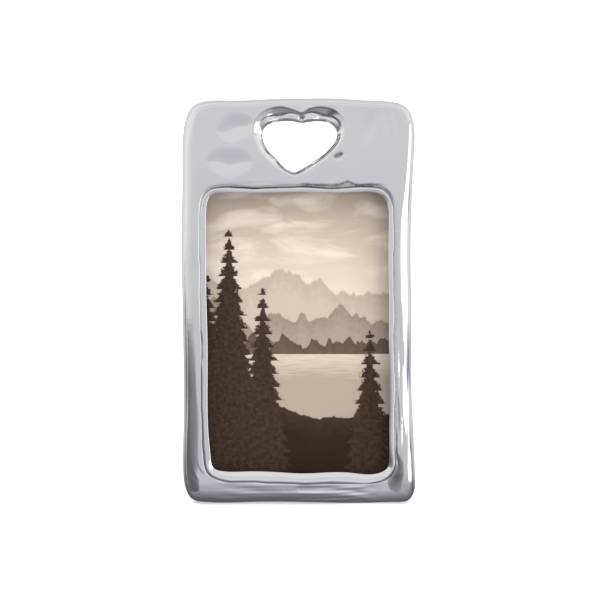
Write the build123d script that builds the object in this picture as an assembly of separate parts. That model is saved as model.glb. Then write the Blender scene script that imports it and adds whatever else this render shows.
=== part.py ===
from build123d import *
import math
import os

# A standing photo frame: a polished sand casting with a heart-shaped hole and a print window.
# Millimetres. Every piece is first drawn upright, with X to the right, Z up along the face,
# and Y towards the back: the flat rear face of the casting lies at depth zero and its front
# at negative depths. The last step leans the whole frame back onto its easel leg.

os.makedirs("parts", exist_ok=True)

# The print, and how far the casting laps over its edges
print_width = 101.6
print_height = 152.4
lap_at_sides = 2.6
lap_at_ends = 2.25

# Casting
side_rail_width = 14.05
foot_rail_height = 16.65
head_height = 50.25
frame_depth = 13.0
edge_round = 4.8
base_facet = 4.0
window_shift = -0.3
cut_overrun = 2.0

# Rounded bead round the print window
bead_width = 3.8
bead_height = 1.1
bead_outer_bevel = 0.9
bead_inner_round = 2.4

# Heart-shaped hole, its centre measured down from the top of the casting
heart_width = 39.7
heart_height = 27.6
heart_shift = 0.7
heart_drop = 25.4
heart_flare_drop = 6.5

# What the recess holds, from front to back
glass_thickness = 2.0
print_thickness = 0.25
card_thickness = 1.0
panel_board_thickness = 3.0
covering_thickness = 0.4
panel_set_back = 0.2
recess_clearance = 0.8
recess_corner = 2.0
panel_clearance = 0.4
panel_corner = 1.6

# Easel leg and its stance
lean_angle = 14
leg_open_angle = 28
hinge_above_middle = 27.4
leg_board_thickness = 2.8
leg_top_width = 26.0
leg_foot_width = 46.0
leg_heel = 3.4
leg_fold_clearance = 0.4
leg_stop_clearance = 0.15

# Butt hinge
hinge_width = 20.0
leaf_thickness = 0.8
knuckle_radius = 1.6
knuckle_gap = 0.2
barrel_stand_off = 0.1
pin_radius = 1.0
pin_clearance = 0.04
pin_stand_out = 0.3
joggle_clearance = 0.5
fixed_leaf_height = 17.0
moving_leaf_height = 15.0
rivet_spacing = 12.0
rivet_inset = 4.5
rivet_radius = 1.0
rivet_clearance = 0.05
rivet_head_radius = 2.0
rivet_head_height = 0.7

# Turn buttons and their screws
button_thickness = 1.0
button_clearance = 0.05
button_head_radius = 3.4
button_tip_radius = 2.2
button_reach = 6.6
button_rail_inset = 4.9
buttons_above_middle = (-38.6, 41.4)
screw_radius = 1.0
screw_length = 6.5
screw_clearance = 0.05
screw_head_radius = 2.4
screw_head_height = 1.4
screw_slot_width = 0.6
screw_slot_depth = 0.6

# Outlines of straight runs and tangent arcs, clockwise as seen from the front. Each corner is
# given as shares of the width and height, then its radius as a share of the width.
frame_shares = [
    (0.499, 0.993, 0.120), (0.479, 0.500, 14.0), (0.502, 0.000, 0.070), (-0.492, 0.000, 0.090),
    (-0.490, 0.220, 17.0), (-0.502, 0.675, 14.0), (-0.493, 0.994, 0.120), (0.080, 1.004, 4.5),
]
window_shares = [
    (0.497, 0.501, 0.095), (0.502, -0.501, 0.065), (-0.481, -0.496, 0.078),
    (-0.494, -0.100, 18.0), (-0.502, 0.499, 0.072),
]

# Half outlines of the heart, each from the cleft at the top to the point at the bottom. The
# throat is the hole itself and the mouth is where its flared wall meets the front face.
throat_right_shares = [
    (0.029, 0.465), (0.189, 0.502), (0.384, 0.478), (0.488, 0.330), (0.485, 0.137),
    (0.335, -0.137), (0.079, -0.390), (-0.064, -0.500),
]
throat_left_shares = [
    (0.029, 0.465), (-0.124, 0.505), (-0.342, 0.484), (-0.474, 0.361), (-0.486, 0.112),
    (-0.362, -0.172), (-0.184, -0.423), (-0.064, -0.500),
]
mouth_right_shares = [
    (0.023, 0.635), (0.207, 0.740), (0.441, 0.702), (0.584, 0.501), (0.599, 0.213),
    (0.436, -0.154), (0.146, -0.478), (-0.064, -0.606),
]
mouth_left_shares = [
    (0.023, 0.635), (-0.170, 0.729), (-0.398, 0.713), (-0.576, 0.537), (-0.622, 0.194),
    (-0.484, -0.196), (-0.264, -0.473), (-0.064, -0.606),
]

# How far the heart's wall has curled over where it meets the face
flare_angle = 60

# Sizes and places that follow from those above
window_width = print_width - 2 * lap_at_sides
window_height = print_height - 2 * lap_at_ends
frame_width = window_width + 2 * side_rail_width
frame_height = foot_rail_height + window_height + head_height
window_centre_z = foot_rail_height + window_height / 2
heart_centre_z = frame_height - heart_drop
hinge_height = window_centre_z + hinge_above_middle
button_heights = [window_centre_z + above for above in buttons_above_middle]

# Depths of the pieces in the recess, from the back
panel_rear = -panel_set_back
board_rear = panel_rear - covering_thickness
card_rear = board_rear - panel_board_thickness
print_rear = card_rear - card_thickness
glass_rear = print_rear - print_thickness
glass_front = glass_rear - glass_thickness
front_face = -frame_depth
bead_crown = front_face - bead_height

# The hinge axis, on the rear of the folded leg
leg_inner_face = panel_rear + leg_fold_clearance
leg_covering_front = leg_inner_face + leg_board_thickness
leg_outer_face = leg_covering_front + covering_thickness
hinge_depth = leg_outer_face + barrel_stand_off + knuckle_radius


def rounded_outline(shares, width, height, centre_x, centre_z):
    """Closed outline of straight runs and tangent arcs, drawn flat with Z up the page."""
    corners = [(centre_x + width * across, centre_z + height * up) for across, up, _ in shares]
    radii = [width * radius_share for _, _, radius_share in shares]
    return FilletPolyline(*corners, radius=radii, close=True).wire()


def prism(flat, front, rear):
    """Solid of an outline between two depths."""
    upright_plane = Plane((0, front, 0), x_dir=(1, 0, 0), z_dir=(0, -1, 0))
    return Solid.extrude(upright_plane * Face(flat), Vector(0, rear - front, 0))


def block(low, high):
    """Box between two corners."""
    size = [upper - lower for lower, upper in zip(low, high)]
    return Pos(*low) * Box(*size, align=(Align.MIN, Align.MIN, Align.MIN))


def plate(width, height, front, rear, corner=0):
    """Upright plate centred behind the window, with rounded corners if corner isn't zero."""
    centre = (window_shift, (front + rear) / 2, window_centre_z)
    body = Pos(*centre) * Box(width, rear - front, height)
    return fillet(body.edges().filter_by(Axis.Y), corner) if corner else body


def peg(radius, x, z, front, rear):
    """Round peg along the depth axis."""
    centre = (x, (front + rear) / 2, z)
    return Pos(*centre) * Rot(X=90) * Cylinder(radius, rear - front)


def heart_wire(share, depth):
    """Outline of the heart between its throat, at share 0, and its mouth, at share 1."""
    edges = []
    for throat, mouth in (
        (throat_right_shares, mouth_right_shares),
        (throat_left_shares, mouth_left_shares),
    ):
        points = []
        for inner, outer in zip(throat, mouth):
            across, up = (low + share * (high - low) for low, high in zip(inner, outer))
            x = heart_shift + heart_width * across
            z = heart_centre_z + heart_height * up
            points.append(Vector(x, depth, z))
        edges.append(Edge.make_spline(points))
    return Wire(edges)


def heart_hole():
    """The hole: its wall curls outwards to the face, and its throat runs straight through
    to the back."""
    throat_front = front_face + heart_flare_drop
    full_turn = math.radians(flare_angle)
    sections = []
    for turn in (0, full_turn / 2, full_turn):
        spread_share = (1 - math.cos(turn)) / (1 - math.cos(full_turn))
        rise_share = math.sin(turn) / math.sin(full_turn)
        depth = throat_front - heart_flare_drop * rise_share
        sections.append(heart_wire(spread_share, depth))
    throat_face = Face(heart_wire(0, throat_front))
    throat = Solid.extrude(throat_face, Vector(0, cut_overrun - throat_front, 0))
    return Solid.make_loft(sections) + throat


def ground():
    """Everything below the table top, seen from the upright frame."""
    reach = 2 * frame_height
    top = base_facet * math.sin(math.radians(lean_angle))
    return Rot(X=lean_angle) * block((-reach, -reach, top - reach), (reach, reach, top))


def make_cast_frame():
    outside = rounded_outline(frame_shares, frame_width, frame_height, 0, 0)
    window = rounded_outline(
        window_shares, window_width, window_height, window_shift, window_centre_z
    )
    casting = prism(outside, front_face, 0)
    casting = fillet(casting.edges().group_by(Axis.Y)[0], edge_round)

    # The bead runs down inside the wall of the window, from its crown to the glass
    bead = prism(window.offset_2d(bead_width), bead_crown, glass_front)
    bead -= prism(window, bead_crown, glass_front)
    crown = bead.faces().sort_by(Axis.Y)[0]
    bead = chamfer(crown.outer_wire().edges(), bead_outer_bevel)
    crown = bead.faces().sort_by(Axis.Y)[0]
    bead = fillet(crown.inner_wires()[0].edges(), bead_inner_round)
    casting = casting - prism(window, front_face, glass_front) + bead

    casting -= heart_hole()
    casting -= plate(
        print_width + 2 * recess_clearance,
        print_height + 2 * recess_clearance,
        glass_front,
        cut_overrun,
        recess_corner,
    )
    for x, z in button_places():
        casting -= peg(screw_radius + screw_clearance, x, z, -screw_length, cut_overrun)
    return casting - ground()


def button_places():
    """Screw centres of the turn buttons, on the side rails behind the window."""
    reach = print_width / 2 + recess_clearance + button_rail_inset
    return [(window_shift + side * reach, z) for side in (-1, 1) for z in button_heights]


def make_panel():
    """Back panel: a hardboard core and the covering folded over its rear and edges."""
    width = print_width + 2 * (recess_clearance - panel_clearance)
    height = print_height + 2 * (recess_clearance - panel_clearance)
    fold = 2 * covering_thickness
    whole = plate(width, height, card_rear, panel_rear, panel_corner)
    core_corner = panel_corner - covering_thickness
    core = plate(width - fold, height - fold, card_rear, board_rear, core_corner)
    covering = whole - core
    for x, z in panel_rivet_places():
        hole = peg(rivet_radius + rivet_clearance, x, z, card_rear, panel_rear)
        core -= hole
        covering -= hole
    return core, covering


def panel_rivet_places():
    z = hinge_height + fixed_leaf_height - rivet_inset
    return [(side * rivet_spacing / 2, z) for side in (-1, 1)]


def leg_rivet_places():
    z = hinge_height - moving_leaf_height + rivet_inset
    return [(side * rivet_spacing / 2, z) for side in (-1, 1)]


def rivet(x, z, seat, inner_end):
    """Flat head on its seat and a shank through the stack, set flush at its inner end."""
    head = peg(rivet_head_radius, x, z, seat, seat + rivet_head_height)
    return head + peg(rivet_radius, x, z, inner_end, seat)


def leg_profile(side_inset):
    """Tapered outline of the folded leg, long enough to be cut at the table."""
    top = hinge_height + leg_heel
    half_top = leg_top_width / 2 - side_inset
    half_foot = leg_foot_width / 2 - side_inset
    corners = [(-half_top, top), (half_top, top), (half_foot, 0), (-half_foot, 0)]
    return Wire.make_polygon([Vector(x, z) for x, z in corners])


def make_leg():
    """Easel leg in its folded place: a hardboard core and its covering."""
    core = prism(leg_profile(covering_thickness), leg_inner_face, leg_covering_front)
    covering = prism(leg_profile(0), leg_inner_face, leg_outer_face) - core
    for x, z in leg_rivet_places():
        hole = peg(rivet_radius + rivet_clearance, x, z, leg_inner_face, leg_outer_face)
        core -= hole
        covering -= hole
    return core, covering


def hinge_tube(radius, low, high):
    """Round bar along the hinge axis between two places across it."""
    centre = ((low + high) / 2, hinge_depth, hinge_height)
    return Pos(*centre) * Rot(Y=90) * Cylinder(radius, high - low)


def leaf_strip(points, low, high):
    """Leaf from its side profile, (depth, height) pairs, between two places across it."""
    wire = Wire.make_polygon([Vector(low, depth, height) for depth, height in points])
    return Solid.extrude(Face(wire), Vector(high - low, 0, 0))


def knuckle_spans():
    """The three knuckles along the hinge, with a running gap between them."""
    length = (hinge_width - 2 * knuckle_gap) / 3
    starts = [-hinge_width / 2 + index * (length + knuckle_gap) for index in range(3)]
    return [(start, start + length) for start in starts]


def knuckled(leaf, own_spans, other_spans):
    """Rolls the leaf's knuckles round the pin and clears the other leaf's."""
    edge = hinge_width / 2
    for low, high in other_spans:
        cut_low = max(low - knuckle_gap, -edge)
        cut_high = min(high + knuckle_gap, edge)
        leaf -= hinge_tube(knuckle_radius + 2 * knuckle_gap, cut_low, cut_high)
    for low, high in own_spans:
        leaf += hinge_tube(knuckle_radius, low, high)
    return leaf - hinge_tube(pin_radius + pin_clearance, -edge, edge)


def make_fixed_leaf():
    """Upper leaf: stands off the panel at the barrel and joggles down to it."""
    inner = hinge_depth - knuckle_radius
    outer = inner + leaf_thickness
    rise = inner - panel_rear
    seat = panel_rear + leaf_thickness
    joggle = hinge_height + leg_heel + joggle_clearance
    top = hinge_height + fixed_leaf_height
    mitre = leaf_thickness * math.tan(math.radians(22.5))
    profile = [
        (inner, hinge_height), (inner, joggle), (panel_rear, joggle + rise), (panel_rear, top),
        (seat, top), (seat, joggle + rise + mitre), (outer, joggle + mitre),
        (outer, hinge_height),
    ]
    leaf = leaf_strip(profile, -hinge_width / 2, hinge_width / 2)
    left, middle, right = knuckle_spans()
    leaf = knuckled(leaf, (left, right), (middle,))
    for x, z in panel_rivet_places():
        leaf -= peg(rivet_radius + rivet_clearance, x, z, panel_rear, seat)
    return leaf


def make_moving_leaf():
    """Lower leaf, flat on the rear of the folded leg."""
    outer = leg_outer_face + leaf_thickness
    low = hinge_height - moving_leaf_height
    profile = [
        (leg_outer_face, hinge_height), (outer, hinge_height), (outer, low),
        (leg_outer_face, low),
    ]
    leaf = leaf_strip(profile, -hinge_width / 2, hinge_width / 2)
    left, middle, right = knuckle_spans()
    leaf = knuckled(leaf, (middle,), (left, right))
    for x, z in leg_rivet_places():
        leaf -= peg(rivet_radius + rivet_clearance, x, z, leg_outer_face, outer)
    return leaf


def make_hinge_pin():
    reach = hinge_width / 2 + pin_stand_out
    return hinge_tube(pin_radius, -reach, reach)


def make_turn_button(x, z):
    """Pressed button whose arm points at the panel, on the casting's rear face."""
    towards_panel = -1 if x > 0 else 1
    tip = x + towards_panel * button_reach
    rounds = [
        Edge.make_circle(button_head_radius, Plane((x, 0, z), z_dir=(0, 1, 0))),
        Edge.make_circle(button_tip_radius, Plane((tip, 0, z), z_dir=(0, 1, 0))),
    ]
    # Both rounds lie in the rear plane of the casting; the hull joins them with tangents
    shift = Plane((0, 0, 0), z_dir=(0, 1, 0))
    hull = make_hull([shift.to_local_coords(edge) for edge in rounds])
    arm = Solid.extrude(shift.from_local_coords(hull.face()), Vector(0, button_thickness, 0))
    arm -= peg(screw_radius + 2 * screw_clearance, x, z, 0, button_thickness)
    return Pos(0, button_clearance, 0) * arm


def make_screw(x, z):
    """Slotted cheese-head screw in its blind hole."""
    seat = button_thickness + 2 * button_clearance
    top = seat + screw_head_height
    head = peg(screw_head_radius, x, z, seat, top)
    slot = block(
        (x - screw_head_radius, top - screw_slot_depth, z - screw_slot_width / 2),
        (x + screw_head_radius, top, z + screw_slot_width / 2),
    )
    shank = peg(screw_radius, x, z, -screw_length + screw_clearance, seat)
    return head - slot + shank


def opened(shape):
    """Swings a folded piece of the leg out to where the leg stands."""
    axis = Axis((0, hinge_depth, hinge_height), (1, 0, 0))
    return shape.rotate(axis, leg_open_angle)


def heel_room():
    """The space in front of the stop, where the open leg's heel may not reach."""
    reach = frame_height
    return block((-reach, -reach, -reach), (reach, panel_rear + leg_stop_clearance, 2 * reach))


panel_board, panel_covering = make_panel()
leg_board, leg_covering = make_leg()
print_area = (print_width, print_height)
upright = {
    "cast_frame": make_cast_frame(),
    "glass_pane": plate(*print_area, glass_front, glass_rear),
    "photo_print": plate(*print_area, glass_rear, print_rear),
    "filler_card": plate(*print_area, print_rear, card_rear),
    "back_panel_board": panel_board,
    "back_panel_covering": panel_covering,
    "leg_board": opened(leg_board) - heel_room() - ground(),
    "leg_covering": opened(leg_covering) - heel_room() - ground(),
    "hinge_fixed_leaf": make_fixed_leaf(),
    "hinge_moving_leaf": opened(make_moving_leaf()),
    "hinge_pin": make_hinge_pin(),
    "hinge_rivets_panel": Compound(
        [rivet(x, z, panel_rear + leaf_thickness, card_rear) for x, z in panel_rivet_places()]
    ),
    "hinge_rivets_leg": opened(
        Compound(
            [
                rivet(x, z, leg_outer_face + leaf_thickness, leg_inner_face)
                for x, z in leg_rivet_places()
            ]
        )
    ),
    "turn_button_screws": Compound([make_screw(x, z) for x, z in button_places()]),
}
for number, (x, z) in enumerate(button_places(), 1):
    upright[f"turn_button_{number}"] = make_turn_button(x, z)

# Lean everything back onto the leg and put the middle of its footprint at the origin
leaning = {name: Rot(X=-lean_angle) * shape for name, shape in upright.items()}
space = Compound([solid for shape in leaning.values() for solid in shape.solids()]).bounding_box()
home = Pos(-space.center().X, -space.center().Y, -space.min.Z)
for name, shape in leaning.items():
    export_step(home * shape, f"parts/{name}.step")


def report_axis(name, x, y, z):
    """Prints where a point of the upright frame ends up, in the part's own frame."""
    place = (home * Rot(X=-lean_angle) * Pos(x, y, z)).position
    print(name, [round(value, 4) for value in place])


report_axis("leg hinge", 0, hinge_depth, hinge_height)
for number, (x, z) in enumerate(button_places(), 1):
    report_axis(f"turn button {number}", x, 0, z)
print("size", [round(value, 3) for value in space.size])
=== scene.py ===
import math

import bmesh
import bpy
import numpy as np
from mathutils import Matrix, Vector
from mathutils.geometry import delaunay_2d_cdt


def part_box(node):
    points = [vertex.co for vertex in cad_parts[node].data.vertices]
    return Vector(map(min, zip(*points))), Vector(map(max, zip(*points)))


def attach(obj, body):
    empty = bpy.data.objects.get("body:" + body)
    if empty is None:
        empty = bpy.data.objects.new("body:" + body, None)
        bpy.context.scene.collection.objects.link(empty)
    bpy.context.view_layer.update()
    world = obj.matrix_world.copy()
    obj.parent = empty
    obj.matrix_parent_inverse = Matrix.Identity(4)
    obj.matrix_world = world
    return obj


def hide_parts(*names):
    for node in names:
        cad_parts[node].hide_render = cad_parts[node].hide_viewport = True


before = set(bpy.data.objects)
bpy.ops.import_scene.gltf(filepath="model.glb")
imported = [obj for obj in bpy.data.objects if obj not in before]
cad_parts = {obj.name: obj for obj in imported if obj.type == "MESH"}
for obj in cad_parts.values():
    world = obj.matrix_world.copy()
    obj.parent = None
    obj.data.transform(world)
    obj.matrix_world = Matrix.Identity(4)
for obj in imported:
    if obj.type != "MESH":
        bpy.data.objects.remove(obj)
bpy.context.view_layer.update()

# Lengths are upright millimetres unless a comment says otherwise: X to the right, Z up along the
# face, and Y towards the back, with the flat rear of the casting at depth zero. The object leans
# back, and row_matrix turns these into the row frame's metres.
MM = 0.001
LEAN = math.radians(14)
# Points nearer than this are made one
WELD = 0.002

FRAME_WIDTH = 124.3
FRAME_HEIGHT = 214.8
# Depths: the foremost plane of the face, and the two faces of the glass
FACE = -13.0
GLASS_FRONT = -6.85
GLASS_REAR = -4.85
# The window and the heart by the place of their middle
WINDOW_WIDTH = 96.4
WINDOW_HEIGHT = 147.9
WINDOW_X = -0.3
WINDOW_Z = 90.6
PRINT_WIDTH = 101.6
PRINT_HEIGHT = 152.4
HEART_WIDTH = 39.7
HEART_HEIGHT = 27.6
HEART_X = 0.7
HEART_Z = 189.4

# Outlines in shares of the width and height, clockwise as seen from the front
OUTLINE_SHARES = [
    (0.015, 1.000), (0.160, 1.000), (0.279, 0.996), (0.398, 0.992), (0.453, 0.982),
    (0.484, 0.959), (0.497, 0.924), (0.495, 0.862), (0.486, 0.753), (0.481, 0.620),
    (0.484, 0.457), (0.484, 0.294), (0.493, 0.166), (0.500, 0.067), (0.496, 0.029),
    (0.472, 0.007), (0.423, 0.002), (0.304, 0.000), (0.151, 0.000), (-0.019, 0.002),
    (-0.181, 0.002), (-0.309, 0.000), (-0.402, 0.002), (-0.455, 0.010), (-0.483, 0.038),
    (-0.493, 0.082), (-0.490, 0.206), (-0.492, 0.373), (-0.497, 0.526), (-0.500, 0.669),
    (-0.496, 0.808), (-0.494, 0.904), (-0.482, 0.948), (-0.453, 0.980), (-0.402, 0.993),
    (-0.292, 0.995), (-0.144, 0.998),
]
WINDOW_SHARES = [
    (-0.418, 0.499), (-0.198, 0.498), (0.044, 0.501), (0.264, 0.499), (0.396, 0.502),
    (0.456, 0.491), (0.487, 0.462), (0.498, 0.395), (0.496, 0.238), (0.499, 0.080),
    (0.498, -0.071), (0.504, -0.214), (0.500, -0.329), (0.501, -0.443), (0.491, -0.481),
    (0.445, -0.500), (0.297, -0.500), (0.176, -0.498), (0.033, -0.502), (-0.121, -0.497),
    (-0.286, -0.495), (-0.407, -0.494), (-0.459, -0.482), (-0.476, -0.443), (-0.487, -0.365),
    (-0.493, -0.214), (-0.493, -0.028), (-0.500, 0.152), (-0.501, 0.316), (-0.499, 0.446),
    (-0.485, 0.481), (-0.464, 0.494),
]
THROAT_RIGHT_SHARES = [
    (0.029, 0.465), (0.136, 0.494), (0.269, 0.504), (0.396, 0.471), (0.476, 0.365),
    (0.500, 0.240), (0.472, 0.096), (0.396, -0.052), (0.269, -0.212), (0.129, -0.342),
    (0.003, -0.458), (-0.064, -0.500),
]
THROAT_LEFT_SHARES = [
    (0.029, 0.465), (-0.064, 0.496), (-0.184, 0.508), (-0.331, 0.488), (-0.431, 0.427),
    (-0.487, 0.327), (-0.499, 0.202), (-0.471, 0.054), (-0.411, -0.096), (-0.311, -0.244),
    (-0.184, -0.423), (-0.064, -0.500),
]
MOUTH_RIGHT_SHARES = [
    (0.023, 0.635), (0.149, 0.723), (0.296, 0.746), (0.456, 0.692), (0.563, 0.558),
    (0.608, 0.356), (0.587, 0.154), (0.503, -0.048), (0.363, -0.250), (0.203, -0.423),
    (0.056, -0.550), (-0.064, -0.606),
]
MOUTH_LEFT_SHARES = [
    (0.023, 0.635), (-0.104, 0.700), (-0.237, 0.746), (-0.384, 0.719), (-0.511, 0.629),
    (-0.597, 0.490), (-0.629, 0.317), (-0.607, 0.115), (-0.537, -0.096), (-0.424, -0.288),
    (-0.264, -0.473), (-0.064, -0.606),
]


def row_matrix():
    """Turns upright millimetres into the row frame, found from where the glass lies."""
    turn = Matrix.Rotation(-LEAN, 4, "X")
    corners = [
        turn @ Vector((WINDOW_X + side * PRINT_WIDTH / 2, depth, WINDOW_Z + end * PRINT_HEIGHT / 2))
        for side in (-1, 1)
        for depth in (GLASS_FRONT, GLASS_REAR)
        for end in (-1, 1)
    ]
    lowest = Vector([min(corner[axis] for corner in corners) for axis in range(3)])
    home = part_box("glass_pane")[0] / MM - lowest
    return Matrix.Scale(MM, 4) @ Matrix.Translation(home) @ turn


UPRIGHT_TO_ROW = row_matrix()


# Outlines

def placed(shares, width, height, x, z):
    """Outline points at their real size and place."""
    return [(x + width * across, z + height * up) for across, up in shares]


def curve_through(points, count, closed=True):
    """Evenly spaced points on the cubic spline through the given ones."""
    points = np.array(points, float)
    knots = np.vstack([points, points[:1]]) if closed else points
    steps = np.linalg.norm(np.diff(knots, axis=0), axis=1)
    places = np.concatenate([[0], np.cumsum(steps)])
    size = len(points)
    system = np.eye(size)
    bends = np.zeros((size, 2))
    for i in range(size):
        if closed or 0 < i < size - 1:
            before, after = steps[i - 1], steps[i]
            system[i] = 0
            system[i, i - 1] = before
            system[i, i] = 2 * (before + after)
            system[i, (i + 1) % size] = after
            ahead = (knots[i + 1] - knots[i]) / after
            bends[i] = 6 * (ahead - (points[i] - points[i - 1]) / before)
    bends = np.linalg.solve(system, bends)
    if closed:
        bends = np.vstack([bends, bends[:1]])
    wanted = np.linspace(0, places[-1], count, endpoint=not closed)
    span = np.clip(np.searchsorted(places, wanted, side="right") - 1, 0, len(steps) - 1)
    step = steps[span][:, None]
    past = wanted[:, None] - places[span][:, None]
    left = step - past
    cubic = bends[span] * left**3 + bends[span + 1] * past**3
    start = (knots[span] / step - bends[span] * step / 6) * left
    end = (knots[span + 1] / step - bends[span + 1] * step / 6) * past
    return cubic / (6 * step) + start + end


def outward(loop):
    """Unit normals of a closed clockwise outline, pointing out of it."""
    along = np.roll(loop, -1, axis=0) - np.roll(loop, 1, axis=0)
    along /= np.linalg.norm(along, axis=1)[:, None]
    return np.stack([-along[:, 1], along[:, 0]], axis=1)


def softened(values, reach):
    """Values round a closed outline, averaged with their neighbours up to reach away."""
    offsets = np.arange(-3 * reach, 3 * reach + 1)
    weights = np.exp(-0.5 * (offsets / reach) ** 2)
    total = sum(w * np.roll(values, o, axis=0) for o, w in zip(offsets, weights))
    return total / weights.sum()


def inside(points, loop):
    """Which points lie inside a closed outline."""
    x, z = points[:, 0], points[:, 1]
    odd = np.zeros(len(points), bool)
    for (x0, z0), (x1, z1) in zip(loop, np.roll(loop, -1, axis=0)):
        if z0 != z1:
            odd ^= ((z0 > z) != (z1 > z)) & (x < (x1 - x0) * (z - z0) / (z1 - z0) + x0)
    return odd


def heart_loop(share, half_count):
    """Closed outline of the heart between its throat, at share 0, and its mouth, at 1."""
    halves = []
    for throat, mouth in (
        (THROAT_RIGHT_SHARES, MOUTH_RIGHT_SHARES),
        (THROAT_LEFT_SHARES, MOUTH_LEFT_SHARES),
    ):
        outer = curve_through(
            placed(mouth, HEART_WIDTH, HEART_HEIGHT, HEART_X, HEART_Z), half_count, False
        )
        inner = curve_through(
            placed(throat, HEART_WIDTH, HEART_HEIGHT, HEART_X, HEART_Z), half_count, False
        )
        halves.append(inner + share * (outer - inner))
    right, left = halves
    return np.vstack([right, left[-2:0:-1]])


# The casting

# Points round the outline, the window and each half of the heart, and their spacing on the face
OUTLINE_COUNT = 900
WINDOW_COUNT = 560
HEART_HALF_COUNT = 120
GRID_STEP = 0.52
# The broken rear edges, and the recess that holds the print with a gap all round
REAR_BREAK = 0.5
THROAT_BREAK = 0.4
RECESS_GAP = 0.8
RECESS_CORNER = 2.0
# How far round an outline, in points, its normals and the sizes by side are averaged
NORMALS_REACH = 3
ROLL_REACH = 10
BEAD_REACH = 6

# Sizes by side: to the right, left, up and down, and in the corners between. The edge rolls over
# in a quarter of an oval, and a fullness over 1 tilts the roll sooner.
ROLL_RINGS = 22
ROLL_WIDTHS = (7.5, 6.6, 4.0, 7.0, 6.0)
ROLL_DEPTHS = (6.5, 6.5, 5.5, 8.5, 6.5)
ROLL_FULLNESS = (1.0, 1.0, 1.0, 1.05, 1.05)
# Where the roll grows wider, or narrower below zero: on the right, 1, or the left, -1, the heights
# between which the change comes in, and the change
ROLL_CHANGES = [(1, 148, 172, -3.4), (1, 60, 30, -2.6), (-1, 75, 45, 2.2)]
# A stretch of the right side where it is narrower too: its height, its reach and by how much
NARROW_STRETCH = (86, 13, 2.2)
# How steeply the face below the window slopes back, and how deep the right end of the foot dips
# and falls away at its corner
FOOT_SLOPE = 0.19
DIP_AT_RIGHT_FOOT = 2.6
FALL_AT_RIGHT_FOOT = 1.4
# The ridges that run along the lower rails
RIDGE_SPACING = 4.3
RIDGE_HEIGHT = 0.07

# The bead leans into the window, from its lip up to a crown, and falls off into a groove
LIP_RINGS = 3
BEAD_RINGS = 8
GROOVE_RINGS = 7
LIP_ROUND = 0.3
BEAD_WIDTHS = (2.7, 3.1, 2.7, 5.3, 3.2)
BEAD_LIPS = (0.3, 0.14, 0.12, 2.3, 0.8)
CROWN_SHARES = (0.84, 0.80, 0.56, 0.88, 0.72)
BEAD_HEIGHT = 1.1
GROOVE_DEPTHS = (0.4, 0.45, 1.25, 0.5, 0.8)
GROOVE_SLOPES = (2.6, 1.1, 1.6, 0.8, 1.8)
# How much wider the window is at the glass than at the lip
UNDERCUT = 0.5
# Painted shade that darkens the groove round the window's bead, by side
GROOVE_SHADE = (0.55, 0.10, 1.0, 0.55, 0.7)

# The heart's flare, as share of the way in from its mouth and depth below the face. The two
# lobes at the top are scooped out above a ledge, which drops off at its lip into the throat. The
# flanks below are rolled, and steeper higher up.
SCOOP = [
    (0.00, 0.00), (0.02, 0.02), (0.07, 0.36), (0.12, 0.64), (0.25, 1.18), (0.40, 1.78),
    (0.50, 2.14), (0.56, 2.44), (0.66, 3.56), (0.70, 3.74), (0.80, 3.70),
]
LEDGE_LIP = [(0.0, 0.0), (0.90, 0.0), (0.96, 0.12), (1.0, 0.5)]
STEEP_FLANK = [
    (0.00, 0.00), (0.10, 0.08), (0.20, 0.30), (0.33, 0.80), (0.48, 1.70), (0.68, 3.0),
    (0.90, 4.3), (1.00, 5.2),
]
GENTLE_FLANK = [
    (0.00, 0.00), (0.10, 0.06), (0.22, 0.26), (0.40, 0.75), (0.60, 1.45), (0.80, 2.25),
    (0.92, 2.75), (1.00, 3.15),
]
# How far the scoops reach in: at the cleft, in the middle of a lobe, and at its outer end
SCOOP_REACHES = [(0.0, 0.42), (7.0, 0.62), (11.0, 1.0), (15.0, 1.0), (20.0, 0.8), (60.0, 0.7)]
# The share of their depth that the scoops lose at the outer ends, and the notch at the cleft
SHALLOWER_AT_LOBE_ENDS = 0.6
CLEFT_NOTCH_DEPTH = 1.9
CLEFT_NOTCH_WIDTH = 1.5
FLARE_RINGS = 26

# Hollows left by hand finishing: x, z, half width, half height, turn in degrees, depth, and the
# crease's place as a share of the half height. Each sinks softly from its upper edge to its crease
# and climbs back below it, or the other way up with its half height below zero.
HOLLOWS = [
    (-33.2, 199.2, 10.4, 8.0, 17, 0.90, -0.1),
    (-36.2, 180.8, 12.4, 8.6, -1, 0.92, -0.1),
    (21.2, 184.2, 3.6, 2.2, 24, 0.45, -0.35),
    (34.0, 7.6, 8.0, 3.4, 8, 0.45, -0.1),
    (8.0, 8.4, 12.0, 3.0, 3, 0.35, -0.1),
    (-22.0, 6.6, 14.0, -3.4, -4, 0.35, -0.1),
]
# Soft hollows with no edge, and ridges, whose depth is below zero: x, z, half width, half height,
# turn and depth
SWELLS = [
    (46.5, 203.0, 1.7, 8.0, 5, 0.18),
    (52.0, 201.0, 1.4, 9.0, 8, 0.16),
    (38.0, 200.0, 3.0, 7.0, -20, 0.20),
    (-15.1, 207.3, 1.6, 0.8, 25, -0.32),
    (4.9, 208.6, 3.2, 0.7, 18, -0.30),
    (-4.0, 205.6, 1.4, 0.8, -40, -0.25),
    (-32.0, 168.6, 9.0, 0.8, 4, 0.2),
    (-8.0, 168.6, 7.0, 0.8, -4, 0.15),
]


def smooth_step(low, high, value):
    """Rises from 0 at low to 1 at high, or falls if high is the lesser."""
    share = np.clip((value - low) / (high - low), 0, 1)
    return share * share * (3 - 2 * share)


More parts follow.
